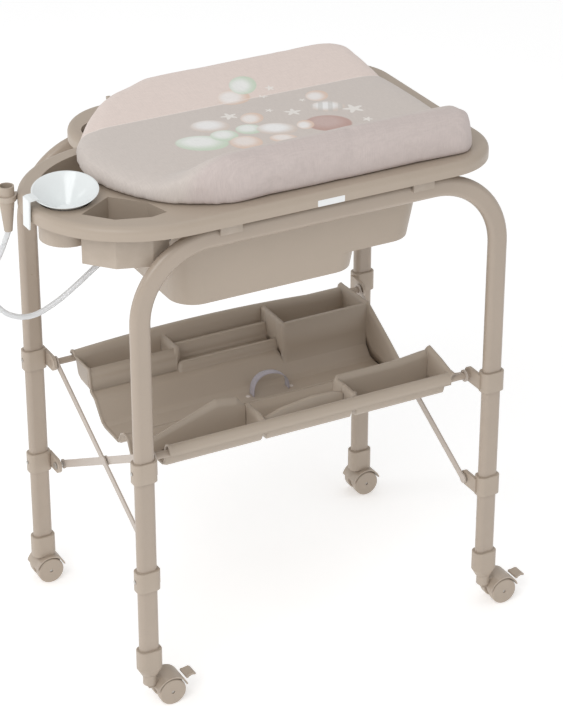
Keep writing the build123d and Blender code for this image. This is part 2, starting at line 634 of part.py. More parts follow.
pad_low = BOARD_Z + BOARD_T
PAD_PROFILE = [
    (-240, pad_low), (-240, 980), (-230, 1000), (-212, 1000), (-160, 950), (-130, 942), (85, 942),
    (125, 946), (205, 966), (225, 973), (238, 962), (240, pad_low),
]
with BuildPart() as pad:
    with BuildSketch(Plane(origin=(-360, 0, 0), x_dir=(0, 1, 0), z_dir=(1, 0, 0))):
        with BuildLine():
            Polyline(*PAD_PROFILE, close=True)
        make_face()
    extrude(amount=720)
    with BuildSketch(Plane.XY.offset(BOARD_Z)):
        board_outline(1)
    extrude(amount=100, mode=Mode.INTERSECT)
save(pad, "mat_pad")

with BuildPart() as label:
    with BuildSketch(Plane(origin=(-6, -TUB_HALF_W, RIM_Z + 6), x_dir=(1, 0, 0), z_dir=(0, -1, 0))):
        RectangleRounded(50, 11, 1.5)
    extrude(amount=0.5)
save(label, "blank_label")
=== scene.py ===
"""Looks for the folding changing table: padded printed mat, moulded trays, rinse bowl, hose and finishes."""
import json
import math

import bmesh
import bpy
import numpy as np
from bpy.props import FloatProperty, FloatVectorProperty, PointerProperty
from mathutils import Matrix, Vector


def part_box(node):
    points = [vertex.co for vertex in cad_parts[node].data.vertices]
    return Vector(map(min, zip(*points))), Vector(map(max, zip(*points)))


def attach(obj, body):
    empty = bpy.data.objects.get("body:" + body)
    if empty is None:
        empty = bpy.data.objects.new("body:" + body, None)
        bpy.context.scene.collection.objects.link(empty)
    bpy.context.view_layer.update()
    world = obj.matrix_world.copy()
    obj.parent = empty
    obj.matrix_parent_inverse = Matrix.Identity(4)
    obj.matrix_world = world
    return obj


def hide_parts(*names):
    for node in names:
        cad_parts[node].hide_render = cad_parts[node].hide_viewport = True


bl_info = {
    "name": "Folding changing table",
    "version": (1, 0, 0),
    "blender": (4, 5, 0),
    "location": "View3D > Sidebar > Changing table",
    "description": "Builds the mat, trays, bowl, hose, finishes and stage around the changing table's frame",
    "category": "Object",
}

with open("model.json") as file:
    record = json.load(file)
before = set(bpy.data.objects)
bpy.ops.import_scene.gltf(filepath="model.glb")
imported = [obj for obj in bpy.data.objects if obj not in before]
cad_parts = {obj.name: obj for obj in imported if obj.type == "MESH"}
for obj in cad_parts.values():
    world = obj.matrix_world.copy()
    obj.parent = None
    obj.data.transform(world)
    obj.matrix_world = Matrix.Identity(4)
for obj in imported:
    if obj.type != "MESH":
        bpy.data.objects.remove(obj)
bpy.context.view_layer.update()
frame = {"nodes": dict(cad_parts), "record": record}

# The frames' middle, from the footprint's middle; the shapes below are worked out from it in millimetres.
_low, _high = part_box("near_frame_tube")
MIDDLE_X = (_low.x + _high.x) / 2
MIDDLE_Y = (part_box("near_tray_rod")[0].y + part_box("far_tray_rod")[1].y) / 2
MM = 0.001


def placed(x, y, z):
    """Millimetres from the frames' middle on the floor, as an array of metres in the table's own frame."""
    x, y, z = np.broadcast_arrays(x, y, z)
    return np.stack([x * MM + MIDDLE_X, y * MM + MIDDLE_Y, z * MM], -1).astype(float)


# ------------------------------------------------------------------ sizes and colours


def colour(name, description, default):
    """A colour setting, in linear red, green and blue."""
    return FloatVectorProperty(
        name=name, description=description, subtype="COLOR", size=3, min=0, max=1, default=default
    )


def length(name, description, default):
    """A length setting, in metres."""
    return FloatProperty(
        name=name, description=description, default=default, unit="LENGTH", subtype="DISTANCE"
    )


class TableSizes(bpy.types.PropertyGroup):
    """Sizes of the soft and moulded pieces."""

    bolster: length("Near bolster", "How far the mat's near edge stands above its middle", 0.054)
    flap: length("Far flap", "How far the mat's far edge rises above its middle", 0.020)
    pad_round: length("Pad rounding", "Radius of the pad's rounded edge", 0.015)
    tray_skin: length("Tray skin", "Thickness of the trays' moulded wall", 0.0036)
    strap_width: length("Strap width", "Width of the ribbon in the tray", 0.017)
    hose: length("Hose diameter", "Outer diameter of the drain hose", 0.0095)


class TableColours(bpy.types.PropertyGroup):
    """Colours of the finishes."""

    taupe: colour("Moulded taupe", "Tub, trays, collars and casters", (0.435, 0.362, 0.292))
    paint: colour("Tube paint", "Powder-coated leg tubes", (0.425, 0.352, 0.286))
    bar: colour("Bar paint", "Scissor bars", (0.50, 0.435, 0.38))
    white: colour("White gloss", "Rinse bowl and plug", (0.80, 0.83, 0.83))
    # painted light: the far flap's rosy cloth is set lighter than the middle, standing for the light on its
    # upward tilt
    cloth_far_lit: colour("Cloth, far flap", "Rosy melange of the far flap", (0.74, 0.635, 0.585))
    cloth_mid: colour("Cloth, middle", "Grey melange of the middle panel", (0.60, 0.54, 0.50))
    cloth_near: colour("Cloth, near bolster", "Mauve melange of the near bolster", (0.575, 0.50, 0.475))
    seam: colour("Seam", "Pale sewn lines", (0.80, 0.72, 0.67))
    ribbon: colour("Ribbon", "Strap webbing", (0.47, 0.44, 0.49))


# ------------------------------------------------------------------ mesh helpers


def ramp(low, high, value):
    """Smooth step: 0 below low, 1 above high, and 3t^2 - 2t^3 between them."""
    t = np.clip((value - low) / (high - low), 0, 1)
    return t * t * (3 - 2 * t)


def ridge(centre, half, soft, value):
    """1 within half of centre, falling smoothly to 0 over the next soft."""
    return 1 - ramp(half, half + soft, np.abs(value - centre))


def mesh_from_grid(name, points, wrap_columns=False):
    """A mesh whose vertices are points[row, column] and whose faces join each cell's four corners."""
    rows, columns = points.shape[:2]
    index = np.arange(rows * columns).reshape(rows, columns)
    if wrap_columns:
        index = np.concatenate([index, index[:, :1]], 1)
    faces = np.stack([index[:-1, :-1], index[:-1, 1:], index[1:, 1:], index[1:, :-1]], -1).reshape(-1, 4)
    mesh = bpy.data.meshes.new(name)
    mesh.from_pydata(points.reshape(-1, 3), [], faces.tolist())
    return finished_object(name, mesh)


def finished_object(name, mesh):
    """Puts a mesh in the scene as a smooth-shaded object at the origin."""
    mesh.validate()
    mesh.shade_smooth()
    piece = bpy.data.objects.new(name, mesh)
    bpy.context.scene.collection.objects.link(piece)
    return piece


def merged(piece, distance):
    """Merges doubles, drops faces without area and points all faces outwards."""
    work = bmesh.new()
    work.from_mesh(piece.data)
    bmesh.ops.remove_doubles(work, verts=work.verts, dist=distance)
    bmesh.ops.dissolve_degenerate(work, edges=work.edges, dist=distance / 4)
    bmesh.ops.recalc_face_normals(work, faces=work.faces)
    work.to_mesh(piece.data)
    work.free()
    return piece


def apply_modifiers(piece):
    """Turns the piece's modifiers into plain mesh."""
    graph = bpy.context.evaluated_depsgraph_get()
    done = bpy.data.meshes.new_from_object(piece.evaluated_get(graph))
    piece.modifiers.clear()
    piece.data = done
    return piece


# ------------------------------------------------------------------ shader helpers


class Nodes:
    """A node tree with short calls that add a node, set its sockets and return it."""

    def __init__(self, tree):
        self.tree = tree

    def add(self, kind, **settings):
        node = self.tree.nodes.new(kind)
        for key, value in settings.items():
            setattr(node, key, value)
        return node

    def join(self, source, target):
        self.tree.links.new(source, target)

    def feed(self, socket, value):
        """Links a socket to another one, or sets it to a plain value."""
        if isinstance(value, bpy.types.NodeSocket):
            self.join(value, socket)
        else:
            socket.default_value = value

    def math(self, operation, a, b=0.0, c=0.0, clamp=False):
        node = self.add("ShaderNodeMath", operation=operation, use_clamp=clamp)
        for socket, value in zip(node.inputs, (a, b, c)):
            self.feed(socket, value)
        return node.outputs[0]

    def mix(self, factor, a, b, blend="MIX"):
        node = self.add("ShaderNodeMix", data_type="RGBA", blend_type=blend)
        self.feed(node.inputs[0], factor)
        self.feed(node.inputs[6], a)
        self.feed(node.inputs[7], b)
        return node.outputs[2]

    def noise(self, vector, scale, detail=2.0, roughness=0.5):
        node = self.add("ShaderNodeTexNoise")
        self.feed(node.inputs["Vector"], vector)
        node.inputs["Scale"].default_value = scale
        node.inputs["Detail"].default_value = detail
        node.inputs["Roughness"].default_value = roughness
        return node.outputs["Fac"]

    def remap(self, value, low, high, to_low=0.0, to_high=1.0):
        node = self.add("ShaderNodeMapRange", interpolation_type="SMOOTHSTEP")
        for socket, item in zip(node.inputs, (value, low, high, to_low, to_high)):
            self.feed(socket, item)
        return node.outputs[0]

    def coordinates(self):
        return self.add("ShaderNodeTexCoord").outputs["Object"]

    def group(self, tree, **inputs):
        node = self.add("ShaderNodeGroup")
        node.node_tree = tree
        for name, value in inputs.items():
            self.feed(node.inputs[name], value)
        return node.outputs


def new_group(name, inputs, outputs):
    """An empty shader group with the named sockets; returns its Nodes, inputs and output node."""
    tree = bpy.data.node_groups.new(name, "ShaderNodeTree")
    for socket, (kind, value) in inputs.items():
        made = tree.interface.new_socket(socket, in_out="INPUT", socket_type=f"NodeSocket{kind}")
        if value is not None:
            made.default_value = value
    for socket, kind in outputs.items():
        tree.interface.new_socket(socket, in_out="OUTPUT", socket_type=f"NodeSocket{kind}")
    nodes = Nodes(tree)
    return tree, nodes, nodes.add("NodeGroupInput").outputs, nodes.add("NodeGroupOutput").inputs


def group_moulded():
    """Fine moulded grain, broad mottling, faint dust and pale worn edges for plastic and paint."""
    tree, n, inp, out = new_group(
        "moulded_surface",
        {
            "Vector": ("Vector", None), "Color": ("Color", None), "Grain": ("Float", 1.0),
            "Wear": ("Float", 1.0), "Rough": ("Float", 0.4),
        },
        {"Color": "Color", "Roughness": "Float", "Height": "Float"},
    )
    broad = n.noise(inp["Vector"], 5.0, 3.0)
    patch = n.noise(inp["Vector"], 38.0, 4.0)
    fine = n.noise(inp["Vector"], 1500.0, 2.0, 0.6)
    shade = n.remap(broad, 0.3, 0.7, 0.98, 1.02)
    shade = n.math("MULTIPLY", shade, n.remap(patch, 0.3, 0.75, 0.992, 1.006))
    speck = n.math("MULTIPLY", shade, n.remap(fine, 0.3, 0.7, 0.985, 1.01))
    tinted = n.mix(1.0, inp["Color"], (1, 1, 1, 1), "MULTIPLY")
    scaled = n.add("ShaderNodeVectorMath", operation="SCALE")
    n.feed(scaled.inputs[0], tinted)
    n.feed(scaled.inputs["Scale"], speck)
    edge = n.add("ShaderNodeNewGeometry").outputs["Pointiness"]
    worn = n.math("MULTIPLY", n.remap(edge, 0.56, 0.68), n.remap(patch, 0.35, 0.65, 0.25, 1.0))
    worn = n.math("MULTIPLY", worn, n.math("MULTIPLY", inp["Wear"], 0.16))
    n.join(n.mix(worn, scaled.outputs[0], (0.86, 0.80, 0.74, 1)), out["Color"])
    rough = n.math("MULTIPLY_ADD", n.math("SUBTRACT", patch, 0.5), 0.10, inp["Rough"])
    n.join(n.math("ADD", rough, n.math("MULTIPLY", worn, 0.3), clamp=True), out["Roughness"])
    n.join(n.math("MULTIPLY", fine, inp["Grain"]), out["Height"])
    return tree


def group_weave():
    """Crossed threads: two sine waves at right angles, roughened by noise, with melange streaks."""
    tree, n, inp, out = new_group(
        "woven_threads",
        {"Vector": ("Vector", None), "Threads": ("Float", 1400.0)},
        {"Height": "Float", "Streak": "Float"},
    )
    wobble = n.noise(inp["Vector"], 120.0, 2.0)
    split = n.add("ShaderNodeSeparateXYZ")
    n.join(inp["Vector"], split.inputs[0])
    waves = []
    for axis in (0, 1):
        turn = n.math("MULTIPLY_ADD", split.outputs[axis], inp["Threads"], n.math("MULTIPLY", wobble, 5.0))
        waves.append(n.math("SINE", turn))
    n.join(n.math("MULTIPLY", n.math("ADD", waves[0], waves[1]), 0.5), out["Height"])
    streaks = []
    for stretch in ((60.0, 900.0, 60.0), (900.0, 60.0, 60.0)):
        mapping = n.add("ShaderNodeMapping")
        n.join(inp["Vector"], mapping.inputs["Vector"])
        mapping.inputs["Scale"].default_value = stretch
        streaks.append(n.noise(mapping.outputs[0], 1.0, 3.0, 0.7))
    n.join(n.math("MULTIPLY", n.math("ADD", streaks[0], streaks[1]), 0.5), out["Streak"])
    return tree


def local_position(n, inp):
    """The print's coordinates, turned about its centre and divided by its radii, as x and y."""
    centre = n.add("ShaderNodeCombineXYZ")
    n.join(inp["X"], centre.inputs[0])
    n.join(inp["Y"], centre.inputs[1])
    moved = n.add("ShaderNodeVectorMath", operation="SUBTRACT")
    n.join(inp["Vector"], moved.inputs[0])
    n.join(centre.outputs[0], moved.inputs[1])
    turned = n.add("ShaderNodeVectorRotate", rotation_type="Z_AXIS")
    n.join(moved.outputs[0], turned.inputs["Vector"])
    n.join(n.math("MULTIPLY", inp["Turn"], -1.0), turned.inputs["Angle"])
    split = n.add("ShaderNodeSeparateXYZ")
    n.join(turned.outputs[0], split.inputs[0])
    return n.math("DIVIDE", split.outputs[0], inp["Long"]), n.math("DIVIDE", split.outputs[1], inp["Short"])


PRINT_SOCKETS = {
    "Vector": ("Vector", None), "X": ("Float", 0.0), "Y": ("Float", 0.0),
    "Long": ("Float", 0.03), "Short": ("Float", 0.02), "Turn": ("Float", 0.0),
}


def distance_from(n, x, y, off_x, off_y):
    """The distance of (x, y) from (off_x, off_y)."""
    dx = n.math("SUBTRACT", x, off_x)
    dy = n.math("SUBTRACT", y, off_y)
    return n.math("SQRT", n.math("ADD", n.math("MULTIPLY", dx, dx), n.math("MULTIPLY", dy, dy)))


def group_balloon():
    """A printed balloon: an oval mask, a shade that grows towards its rim, and a soft highlight."""
    tree, n, inp, out = new_group(
        "printed_balloon", PRINT_SOCKETS, {"Mask": "Float", "Shade": "Float", "Across": "Float"}
    )
    x, y = local_position(n, inp)
    n.join(n.remap(distance_from(n, x, y, 0.0, 0.0), 0.93, 1.04, 1.0, 0.0), out["Mask"])
    n.join(n.remap(distance_from(n, x, y, -0.12, 0.18), 0.35, 1.12), out["Shade"])
    n.join(x, out["Across"])
    return tree


def group_star():
    """A printed star: radius 0.55 + 0.45 |cos 2.5a|^3 about its centre, where a is the angle."""
    tree, n, inp, out = new_group("printed_star", PRINT_SOCKETS, {"Mask": "Float"})
    x, y = local_position(n, inp)
    lobes = n.math("ABSOLUTE", n.math("COSINE", n.math("MULTIPLY", n.math("ARCTAN2", y, x), 2.5)))
    reach = n.math("MULTIPLY_ADD", n.math("POWER", lobes, 3.0), 0.55, 0.45)
    ratio = n.math("DIVIDE", distance_from(n, x, y, 0.0, 0.0), reach)
    n.join(n.remap(ratio, 0.85, 1.05, 1.0, 0.0), out["Mask"])
    return tree


def new_material(name, **plain):
    """A material whose Principled shader has its plain sockets set; returns it, its Nodes and the shader."""
    made = bpy.data.materials.new(name)
    made.use_nodes = True
    n = Nodes(made.node_tree)
    shader = made.node_tree.nodes["Principled BSDF"]
    for socket, value in plain.items():
        shader.inputs[socket.replace("_", " ")].default_value = value
    return made, n, shader


def bump(n, shader, height, strength, distance):
    """Feeds a height into the shader's normal."""
    node = n.add("ShaderNodeBump")
    node.inputs["Strength"].default_value = strength
    node.inputs["Distance"].default_value = distance
    n.join(height, node.inputs["Height"])
    n.join(node.outputs[0], shader.inputs["Normal"])


def moulded_material(name, group, tint, rough, grain=1.0, wear=1.0, **plain):
    """Plastic, paint or metal with grain, mottling and worn edges."""
    made, n, shader = new_material(name, **plain)
    outs = n.group(group, Vector=n.coordinates(), Color=(*tint, 1), Grain=grain, Wear=wear, Rough=rough)
    n.join(outs["Color"], shader.inputs["Base Color"])
    n.join(outs["Roughness"], shader.inputs["Roughness"])
    bump(n, shader, outs["Height"], 0.25, 0.00025)
    return made


MINT, PEACH, ROSE = (0.56, 0.66, 0.53), (0.70, 0.53, 0.43), (0.47, 0.29, 0.25)
CREAM, BAND_GREY = (0.64, 0.55, 0.49), (0.52, 0.50, 0.47)
# printed balloons, in the order they are painted:
# x, y, half length, half width (mm), turn (degrees), colour, how pale
BALLOONS = [
    (2, 100, 31, 27, 18, PEACH, 0.80),
    (37, 133, 32, 24, 53, MINT, 0.85),
    (-136, -54, 45, 31, -28, MINT, 0.85),
    (-92, 4, 34, 28, -28, CREAM, 0.9),
    (-89, -43, 24, 23, -28, MINT, 0.85),
    (-69, -84, 28, 26, -28, PEACH, 0.6),
    (-13, 3, 25, 20, 60, PEACH, 0.75),
    (-40, -38, 23, 21, -28, MINT, 0.8),
    (3, -58, 35, 25, -28, CREAM, 0.95),
    (92, -76, 40, 33, -28, ROSE, 0.18),
    (-5, -97, 24, 16, -28, PEACH, 0.7),
    (134, 42, 26, 20, 60, PEACH, 0.8),
    (54, -64, 19, 15, 60, PEACH, 0.9),
    (126, -12, 30, 24, -28, CREAM, 0.95),
]
BANDED = BALLOONS[-1]
PRINT_PALE = 0.86                       # what a balloon's middle tends to
# printed stars: x, y, radius (mm), turn (degrees)
STARS = [
    (77, 108, 9, 10), (52, 86, 9, 40), (-43, 29, 16, 20), (29, 20, 8, 50), (61, -6, 16, 0),
    (102, 36, 7, 30), (160, -41, 20, 15), (159, -91, 10, 45), (129, -112, 7, 5),
]


def mat_material(colours, groups):
    """Printed melange cloth: three panels of colour, the far one rosy and also painted lighter as painted
    light where the flap tilts up towards the lamps, pale seams, balloons and stars under a fine weave.
    """
    made, n, shader = new_material("mat_cloth", Roughness=0.78, Sheen_Weight=0.18, Sheen_Roughness=0.5)
    shader.inputs["Specular IOR Level"].default_value = 0.28
    where = n.coordinates()
    split = n.add("ShaderNodeSeparateXYZ")
    n.join(where, split.inputs[0])
    y = n.math("SUBTRACT", split.outputs[1], MIDDLE_Y)
    to_far_lit = n.remap(y, FLAP_FOLD * MM - 0.0015, FLAP_FOLD * MM + 0.0015)
    to_near = n.remap(y, -0.195, -0.215)
    # painted light: the far flap gets the lighter cloth colour, for the light that falls on its tilt
    base = n.mix(to_far_lit, (*colours.cloth_mid, 1), (*colours.cloth_far_lit, 1))
    base = n.mix(to_near, base, (*colours.cloth_near, 1))
    cloth = n.group(groups["weave"], Vector=where)
    for printed in BALLOONS:
        x0, y0, half_long, half_short, turn, tint, pale = printed
        outs = n.group(
            groups["balloon"], Vector=where, X=x0 * MM + MIDDLE_X, Y=y0 * MM + MIDDLE_Y,
            Long=half_long * MM, Short=half_short * MM, Turn=math.radians(turn),
        )
        bright = tuple(c + (PRINT_PALE - c) * pale for c in tint)
        body = n.mix(outs["Shade"], (*bright, 1), (*tint, 1))
        if printed is BANDED:
            bands = n.remap(n.math("SINE", n.math("MULTIPLY", outs["Across"], 11.0)), -0.2, 0.4)
            body = n.mix(n.math("MULTIPLY", bands, 0.55), body, (*BAND_GREY, 1))
        base = n.mix(n.math("MULTIPLY", outs["Mask"], 0.9), base, body)
    for x0, y0, radius, turn in STARS:
        outs = n.group(
            groups["star"], Vector=where, X=x0 * MM + MIDDLE_X, Y=y0 * MM + MIDDLE_Y,
            Long=radius * MM, Short=radius * MM, Turn=math.radians(turn),
        )
        base = n.mix(n.math("MULTIPLY", outs["Mask"], 0.8), base, (0.82, 0.79, 0.75, 1))
    seam_far = n.remap(n.math("ABSOLUTE", n.math("SUBTRACT", y, FLAP_FOLD * MM)), 0.0008, 0.0022, 1.0, 0.0)
    base = n.mix(n.math("MULTIPLY", seam_far, 0.75), base, (*colours.seam, 1))
    streak = n.remap(cloth["Streak"], 0.3, 0.7, 0.93, 1.06)
    melange = n.add("ShaderNodeVectorMath", operation="SCALE")
    n.join(base, melange.inputs[0])
    n.join(streak, melange.inputs["Scale"])
    n.join(melange.outputs[0], shader.inputs["Base Color"])
    bump(n, shader, cloth["Height"], 0.22, 0.0004)
    return made


def ribbon_material(colours, groups):
    """Ribbed webbing with a sheen."""
    made, n, shader = new_material("ribbon", Roughness=0.6, Sheen_Weight=0.3)
    outs = n.group(groups["weave"], Vector=n.coordinates(), Threads=5200.0)
    shade = n.remap(outs["Streak"], 0.3, 0.7, 0.9, 1.08)
    tint = n.add("ShaderNodeVectorMath", operation="SCALE")
    tint.inputs[0].default_value = colours.ribbon
    n.join(shade, tint.inputs["Scale"])
    n.join(tint.outputs[0], shader.inputs["Base Color"])
    bump(n, shader, outs["Height"], 0.5, 0.0005)
    return made


def hose_material(group):
    """Milky see-through hose with a faint haze."""
    made = moulded_material("milky_hose", group, (0.86, 0.87, 0.88), 0.28, 0.5, 0.0, IOR=1.45)
    made.node_tree.nodes["Principled BSDF"].inputs["Transmission Weight"].default_value = 0.35
    return made


def steel_material(group):
    """Brushed zinc-plated steel."""
    return moulded_material("plated_steel", group, (0.56, 0.55, 0.53), 0.34, 1.5, 0.4, Metallic=0.9)


def all_materials(colours):
    """Every finish by the record's slot name."""
    groups = {"weave": group_weave(), "balloon": group_balloon(), "star": group_star()}
    moulded = group_moulded()
    return {
        "taupe_plastic": moulded_material("taupe_plastic", moulded, colours.taupe, 0.42),
        "wheel_plastic": moulded_material("wheel_plastic", moulded, colours.taupe, 0.36, 0.7, 1.4),
        "frame_paint": moulded_material("frame_paint", moulded, colours.paint, 0.30, 1.3, 0.6),
        "bar_paint": moulded_material("bar_paint", moulded, colours.bar, 0.34, 1.0, 0.8),
        "white_gloss": moulded_material(
            "white_gloss", moulded, colours.white, 0.2, 0.2, 0.0, Coat_Weight=0.3
        ),
        "board": moulded_material("board", moulded, (0.74, 0.71, 0.68), 0.5),
        "pearl": moulded_material("pearl", moulded, (0.74, 0.68, 0.65), 0.22, 0.2, 0.0, Coat_Weight=0.6),
        # a near-black finish, given to the parts that the record puts in the dark_plastic slot
        "dark_plastic": moulded_material("dark_plastic", moulded, (0.075, 0.06, 0.05), 0.5),
        "label": moulded_material("label", moulded, (0.82, 0.83, 0.83), 0.45, 0.3, 0.0),
        "steel": steel_material(moulded),
        "hose_clear": hose_material(moulded),
        "mat_fabric": mat_material(colours, groups),
        "strap_webbing": ribbon_material(colours, groups),
    }


# ------------------------------------------------------------------ the mat
PAD_LOW, PAD_HIGH = (np.array(v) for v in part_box("mat_pad"))
PAD_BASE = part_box("mat_board")[0].z / MM
PAD_FLOOR = PAD_LOW[2] / MM + 17
PAD_LEFT = (PAD_LOW[0] - MIDDLE_X) / MM
PAD_RIGHT = (PAD_HIGH[0] - MIDDLE_X) / MM
PAD_HALF = (PAD_HIGH[1] - PAD_LOW[1]) / 2 / MM
PAD_END, PAD_CORNER = 203.0, 46.0       # length of the rounded near left end and radius of the right corners
PAD_TIP = -20.0                         # where the outline reaches furthest left
PAD_FAR = 250.0                         # the far edge, close to the hinge pins
FLAP_FOLD, CREST = 90.0, -214.0         # where the far flap folds up and where the near bolster is highest


def pad_sides(x):
    """The near and far y of the pad's outline at x: a quarter oval at the near left, a wider curve at the
    far left, straight sides, and quarter circles at the right."""
    from_end = np.maximum(PAD_LEFT + PAD_END - x, 0) / PAD_END
    oval = np.sqrt(np.clip(1 - from_end ** 2, 0, 1))
    fine = np.linspace(PAD_LEFT, PAD_RIGHT, 900)
    corners = np.interp(
        fine, [PAD_LEFT, -338, -316, -268, -222, -185, -150, -110, PAD_RIGHT],
        [PAD_TIP, 18, 72, 140, 190, 215, 229, PAD_FAR, PAD_FAR],
    )
    kernel = np.hanning(31) / np.hanning(31).sum()
    eased = np.convolve(np.pad(corners, 15, mode="edge"), kernel, mode="valid")
    eased = eased + (PAD_TIP - eased[0]) * np.exp(-(fine - PAD_LEFT) / 6)
    inside = np.clip(x - (PAD_RIGHT - PAD_CORNER), 0, PAD_CORNER)
    corner = PAD_CORNER - np.sqrt(PAD_CORNER ** 2 - inside ** 2)
    return PAD_TIP - (PAD_HALF + PAD_TIP) * oval + corner, np.interp(x, fine, eased) - corner


def pad_height(x, y, sizes):
    """The top face: a crowned floor, a far flap that slopes up from its fold, and a near bolster whose crest
    starts in an S at the left end and rounds off at the right."""
    crown = 2.5 * (1 - np.clip(np.abs(y + 20) / 110, 0, 1) ** 2)
    slope = np.clip((y - FLAP_FOLD) / (PAD_FAR - 12 - FLAP_FOLD), 0, 1)
    flap = sizes.flap / MM * (slope + 0.10 * np.sin(math.pi * slope))
    along = ramp(-318, -160, x)
    end = np.sqrt(np.clip(1 - (np.clip(x - (PAD_RIGHT - 44), 0, 44) / 44.5) ** 2, 0, 1))
    across = 1 - ramp(CREST + 2, -134, y)
    return PAD_FLOOR + crown + flap + sizes.bolster / MM * along * across * end


def pad_creases(x, y):
    """How deep the sewn lines pull the top face in: along the far fold and along the near bolster's foot."""
    far = 1.8 * np.exp(-((y - FLAP_FOLD) / 3.2) ** 2)
    return far + 1.3 * np.exp(-((y - CREST - 8) / 3.0) ** 2) * ramp(-318, -160, x)


def edge_round(x, y, radius):
    """0 on the outline, rising as a quarter circle to 1 at radius in from it."""
    rim_x = PAD_LEFT + (PAD_RIGHT - PAD_LEFT) * (1 - np.cos(np.linspace(0, math.pi, 1500))) / 2
    nearest = (PAD_RIGHT - x) ** 2
    for rim_y in pad_sides(rim_x):
        for row in range(x.shape[0]):
            gap = (x[row, :, None] - rim_x) ** 2 + (y[row, :, None] - rim_y) ** 2
            nearest[row] = np.minimum(nearest[row], gap.min(-1))
    t = np.clip(np.sqrt(nearest) / radius, 0, 1)
    t[:, [0, -1]] = 0
    return np.sqrt(1 - (1 - t) ** 2)


def mat_pad(sizes):
    """The pad as a closed skin: columns across it at cosine-spaced x, each from one side of the outline to
    the other on the top face and back along the flat base, then puffed up."""
    u = np.linspace(0, math.pi, 190)
    x = (PAD_LEFT + (PAD_RIGHT - PAD_LEFT) * (1 - np.cos(u)) / 2)[:, None]
    v = (1 + np.sin(np.linspace(-math.pi / 2, math.pi / 2, 150))[None, :]) / 2
    near, far = pad_sides(x)
    x, y = np.broadcast_arrays(x, near + (far - near) * v)
    rounding = edge_round(x, y, sizes.pad_round / MM)
    top = PAD_BASE + (pad_height(x, y, sizes) - PAD_BASE) * rounding
    base = np.full_like(top, PAD_BASE)
    loop_x = np.concatenate([x, x[:, ::-1]], 1)
    loop_y = np.concatenate([y, y[:, ::-1]], 1)
    loop_z = np.concatenate([top, base], 1)
    skin = mesh_from_grid("mat_cushion", placed(loop_x, loop_y, loop_z), wrap_columns=True)
    piece = merged(skin, 0.00002)
    puff(piece, voxel=0.0065, pressure=4.0, cap=0.005)
    press_creases(piece)
    return piece


def coordinates_of(mesh):
    """The mesh's vertices as an array of rows."""
    flat = np.empty(len(mesh.vertices) * 3)
    mesh.vertices.foreach_get("co", flat)
    return flat.reshape(-1, 3)


def puff(piece, voxel, pressure, cap):
    """Remeshes a closed piece evenly and swells it as pressurised cloth, no point moving further than cap."""
    remesh = piece.modifiers.new("even", "REMESH")
    remesh.mode = "VOXEL"
    remesh.voxel_size = voxel
    apply_modifiers(piece)
    start = coordinates_of(piece.data)
    cloth = piece.modifiers.new("puff", "CLOTH")
    cloth.settings.quality = 6
    cloth.settings.mass = 0.3
    cloth.settings.use_pressure = True
    cloth.settings.uniform_pressure_force = pressure
    cloth.settings.effector_weights.gravity = 0
    cloth.collision_settings.use_self_collision = False
    scene = bpy.context.scene
    for step in range(1, 21):
        scene.frame_set(step)
    apply_modifiers(piece)
    scene.frame_set(1)
    shift = coordinates_of(piece.data) - start
    reach = np.linalg.norm(shift, axis=1, keepdims=True)
    shift *= np.minimum(1, cap / np.maximum(reach, 1e-9))
    end = start + shift
    end[:, 2] = np.maximum(end[:, 2], PAD_BASE * MM)
    piece.data.vertices.foreach_set("co", np.clip(end, PAD_LOW * (1, 1, 0), PAD_HIGH).ravel())
    piece.modifiers.new("smooth", "SUBSURF").levels = 1
    piece.modifiers["smooth"].render_levels = 1
    apply_modifiers(piece)
    piece.data.shade_smooth()


def press_creases(piece):
    """Presses the sewn lines into the top face."""
    end = coordinates_of(piece.data)
    upper = end[:, 2] > (PAD_FLOOR - 6) * MM
    end[:, 2] -= upper * pad_creases((end[:, 0] - MIDDLE_X) / MM, (end[:, 1] - MIDDLE_Y) / MM) * MM
    piece.data.vertices.foreach_set("co", end.ravel())
    piece.data.update()


# ------------------------------------------------------------------ the trays
TRAY_HALF = (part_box("near_tray_half")[1].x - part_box("near_tray_half")[0].x) / 2 / MM
ROD_Y = (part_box("far_tray_rod")[1].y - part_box("near_tray_rod")[0].y) / 2 / MM - 6
ROD_Z = (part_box("far_tray_rod")[0].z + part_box("far_tray_rod")[1].z) / 2 / MM
OUTER_Y = ROD_Y + 9.2
SPLIT_Y = -20.0


def tray_profile(depth, valley_end):
    """Height of the bare tray at a distance in from its rod's outer side: over the rod, down the outer wall,
    across the bins' floor, down to the valley and up to the raised lip at the split."""
    distance = [0, 2, 5, 9, 13, 17, 20, 24, 30, 84, 100, 128, 142]
    distance += [valley_end - 24, valley_end - 12, valley_end]
    height = [-6, 4, 9.5, 11, 9, 2, -22, -32, -35, -38, -44, -76, -81, -82, -60, -54]
    fine = np.linspace(0, valley_end, 400)
    smooth = np.interp(fine, distance, height)
    kernel = np.hanning(9) / np.hanning(9).sum()
    smooth = np.convolve(np.pad(smooth, 4, mode="edge"), kernel, mode="valid")
    return ROD_Z + np.interp(depth, fine, smooth)


def wall(z, top, mask):
    """Raises z to top where the mask is 1."""
    return z + np.maximum(top - z, 0) * mask


